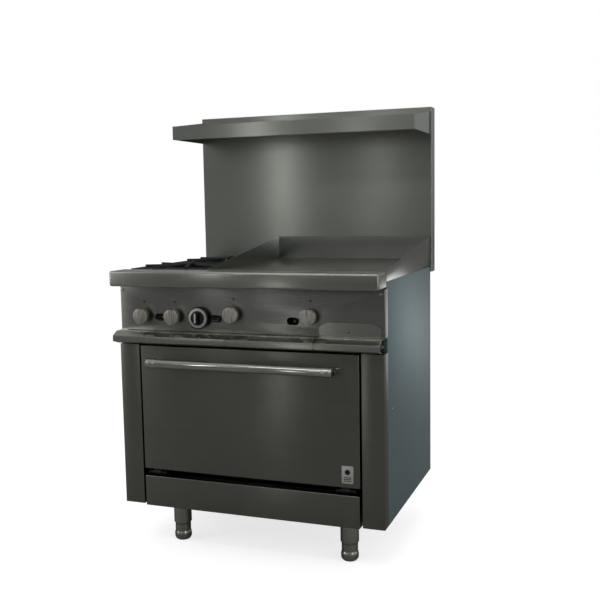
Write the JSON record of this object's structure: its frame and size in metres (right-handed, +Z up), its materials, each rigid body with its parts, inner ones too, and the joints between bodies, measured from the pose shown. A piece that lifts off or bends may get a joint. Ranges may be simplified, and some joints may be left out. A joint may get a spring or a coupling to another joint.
{
  "type": "commercial gas range",
  "caption": "Freestanding restaurant gas range with open burners, a griddle with splash guards, an oven with a drop-down door, pull-out trays, and a backguard with a high shelf.",
  "frame": {"origin": "centre of the footprint, on the floor", "axes": "+Z up, -Y towards the cook (the front), +X to the right as seen from the front"},
  "size_m": [0.924, 0.8106, 1.502],
  "materials": {
    "stainless": "brushed stainless sheet, satin",
    "stainless_dark": "brushed stainless sheet, darker satin",
    "galvanised": "galvanised sheet, dull",
    "chrome": "chrome plate, polished",
    "cast_iron": "matt black cast iron",
    "enamel": "porcelain enamel, dark and glossy",
    "steel_plate": "ground steel plate",
    "pipe": "black steel pipe",
    "brass": "machined brass",
    "knob_metal": "satin die-cast metal",
    "black_plastic": "smooth black phenolic"
  },
  "bodies": {
    "range_body": {"base_frame": "galvanised", "back_panel": "galvanised", "tray_deck": "galvanised", "left_side_panel": "stainless_dark", "right_side_panel": "stainless_dark", "burner_box": "stainless_dark", "griddle_splash": "stainless_dark", "left_shelf_bracket": "stainless_dark", "right_shelf_bracket": "stainless_dark", "left_hinge_pin": "stainless_dark", "right_hinge_pin": "stainless_dark", "left_front_trim": "stainless", "right_front_trim": "stainless", "kick_panel": "stainless", "control_panel": "stainless", "front_rail": "stainless", "grease_trough": "stainless", "backguard": "stainless", "shelf": "stainless", "oven_liner": "enamel", "oven_floor": "enamel", "oven_burner": "cast_iron", "front_burner": "cast_iron", "rear_burner": "cast_iron", "left_griddle_burner": "cast_iron", "right_griddle_burner": "cast_iron", "left_rack_guide": "chrome", "right_rack_guide": "chrome", "front_left_leg": "chrome", "front_right_leg": "chrome", "rear_left_leg": "chrome", "rear_right_leg": "chrome", "gas_manifold": "pipe", "front_burner_valve": "brass", "rear_burner_valve": "brass", "left_griddle_valve": "brass", "right_griddle_valve": "brass", "griddle_plate": "steel_plate"},
    "oven_door": {"door_outer_panel": "stainless", "door_inner_panel": "enamel", "door_handle": "chrome", "left_handle_bracket": "chrome", "right_handle_bracket": "chrome", "left_hinge_knuckle": "stainless_dark", "right_hinge_knuckle": "stainless_dark"},
    "oven_rack": {"oven_rack": "chrome"},
    "left_crumb_tray": {"left_crumb_tray": "stainless"},
    "middle_crumb_tray": {"middle_crumb_tray": "stainless"},
    "grease_drawer": {"grease_drawer": "stainless"},
    "front_grate": {"front_grate": "cast_iron"},
    "rear_grate": {"rear_grate": "cast_iron"},
    "front_burner_knob": {"front_burner_knob": "knob_metal"},
    "rear_burner_knob": {"rear_burner_knob": "knob_metal"},
    "left_griddle_knob": {"left_griddle_knob": "knob_metal"},
    "right_griddle_knob": {"right_griddle_knob": "knob_metal"},
    "thermostat_dial": {"thermostat_dial": "black_plastic"},
    "front_left_foot": {"front_left_foot": "chrome"},
    "front_right_foot": {"front_right_foot": "chrome"},
    "rear_left_foot": {"rear_left_foot": "chrome"},
    "rear_right_foot": {"rear_right_foot": "chrome"}
  },
  "joints": [
    {"name": "oven_door_hinge", "type": "hinge", "parent": "range_body", "child": "oven_door", "pos_m": [0, -0.31575, 0.27], "axis": [1, 0, 0], "range_deg": [0, 90], "stiffness_Nm_per_rad": 8, "springref_deg": -20.05},
    {"name": "oven_rack_slide", "type": "slide", "parent": "range_body", "child": "oven_rack", "axis": [0, -1, 0], "range_m": [0, 0.3]},
    {"name": "left_crumb_tray_slide", "type": "slide", "parent": "range_body", "child": "left_crumb_tray", "axis": [0, -1, 0], "range_m": [0, 0.4]},
    {"name": "middle_crumb_tray_slide", "type": "slide", "parent": "range_body", "child": "middle_crumb_tray", "axis": [0, -1, 0], "range_m": [0, 0.4]},
    {"name": "grease_drawer_slide", "type": "slide", "parent": "range_body", "child": "grease_drawer", "axis": [0, -1, 0], "range_m": [0, 0.4]},
    {"name": "front_grate_lift", "type": "slide", "parent": "range_body", "child": "front_grate", "axis": [0, 0, 1], "range_m": [0, 0.1]},
    {"name": "rear_grate_lift", "type": "slide", "parent": "range_body", "child": "rear_grate", "axis": [0, 0, 1], "range_m": [0, 0.1]},
    {"name": "rear_burner_knob_turn", "type": "hinge", "parent": "range_body", "child": "rear_burner_knob", "pos_m": [-0.367, -0.30675, 0.8005], "axis": [0, -1, 0], "range_deg": [0, 90]},
    {"name": "front_burner_knob_turn", "type": "hinge", "parent": "range_body", "child": "front_burner_knob", "pos_m": [-0.2525, -0.30675, 0.8005], "axis": [0, -1, 0], "range_deg": [0, 90]},
    {"name": "left_griddle_knob_turn", "type": "hinge", "parent": "range_body", "child": "left_griddle_knob", "pos_m": [-0.0412, -0.30675, 0.8133], "axis": [0, -1, 0], "range_deg": [0, 90]},
    {"name": "right_griddle_knob_turn", "type": "hinge", "parent": "range_body", "child": "right_griddle_knob", "pos_m": [0.2203, -0.30675, 0.8133], "axis": [0, -1, 0], "range_deg": [0, 90]},
    {"name": "thermostat_dial_turn", "type": "hinge", "parent": "range_body", "child": "thermostat_dial", "pos_m": [-0.1614, -0.30675, 0.7985], "axis": [0, -1, 0], "range_deg": [0, 270]},
    {"name": "front_left_foot_screw", "type": "slide", "parent": "range_body", "child": "front_left_foot", "axis": [0, 0, -1], "range_m": [0, 0.035]},
    {"name": "front_right_foot_screw", "type": "slide", "parent": "range_body", "child": "front_right_foot", "axis": [0, 0, -1], "range_m": [0, 0.035]},
    {"name": "rear_left_foot_screw", "type": "slide", "parent": "range_body", "child": "rear_left_foot", "axis": [0, 0, -1], "range_m": [0, 0.035]},
    {"name": "rear_right_foot_screw", "type": "slide", "parent": "range_body", "child": "rear_right_foot", "axis": [0, 0, -1], "range_m": [0, 0.035]}
  ],
  "couplings": [
    {"joint": "oven_rack_slide", "follows": "oven_door_hinge", "m_per_rad": 0.19}
  ]
}
